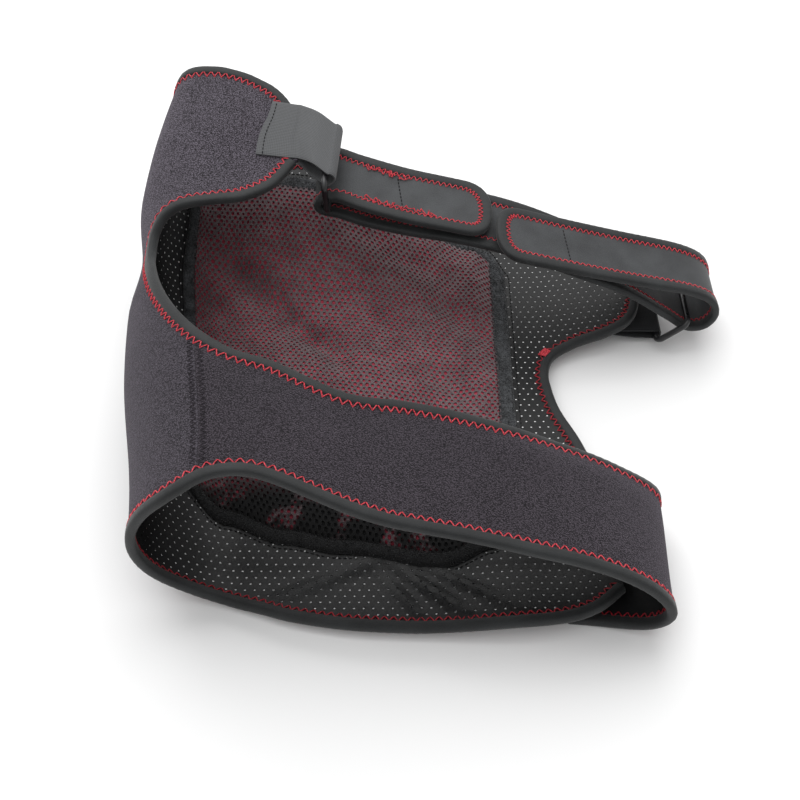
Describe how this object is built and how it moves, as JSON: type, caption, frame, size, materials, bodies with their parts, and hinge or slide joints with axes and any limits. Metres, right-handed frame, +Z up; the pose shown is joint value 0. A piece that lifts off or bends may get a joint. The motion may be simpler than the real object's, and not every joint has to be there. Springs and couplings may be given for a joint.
{
  "type": "hip brace",
  "caption": "Neoprene wrap hip brace lying on its back panel, lower loop closed, mesh pocket inside, strap held by plastic rings",
  "frame": {"origin": "centre of the bounding box at floor level", "axes": "+X from the closed left wall towards the strap fold at the right, +Y from the lower loop's mouth towards the upper edge, +Z up from the back panel"},
  "size_m": [0.3392, 0.3222, 0.1205],
  "materials": {
    "loop_fabric": "brushed loop face on neoprene, dark violet grey",
    "binding": "smooth folded jersey tape, grey black, red zigzag thread",
    "mesh": "two-tone open mesh, red and grey",
    "plush": "short dark plush tape",
    "webbing": "ribbed elastic webbing, mid grey",
    "webbing_black": "ribbed elastic webbing, black",
    "strap_cloth": "smooth jersey face on neoprene, dark grey",
    "plastic": "moulded black, low gloss"
  },
  "bodies": {
    "root": {"body": "loop_fabric", "wrap_band": "loop_fabric", "binding_hem": "binding", "binding_rim": "binding", "binding_window": "binding", "mesh_pocket": "mesh", "pocket_trim": "plush", "webbing_left": "webbing", "webbing_right": "webbing_black", "ring_left": "plastic", "ring_right": "plastic", "strap": "strap_cloth", "strap_binding": "binding"}
  },
  "joints": []
}
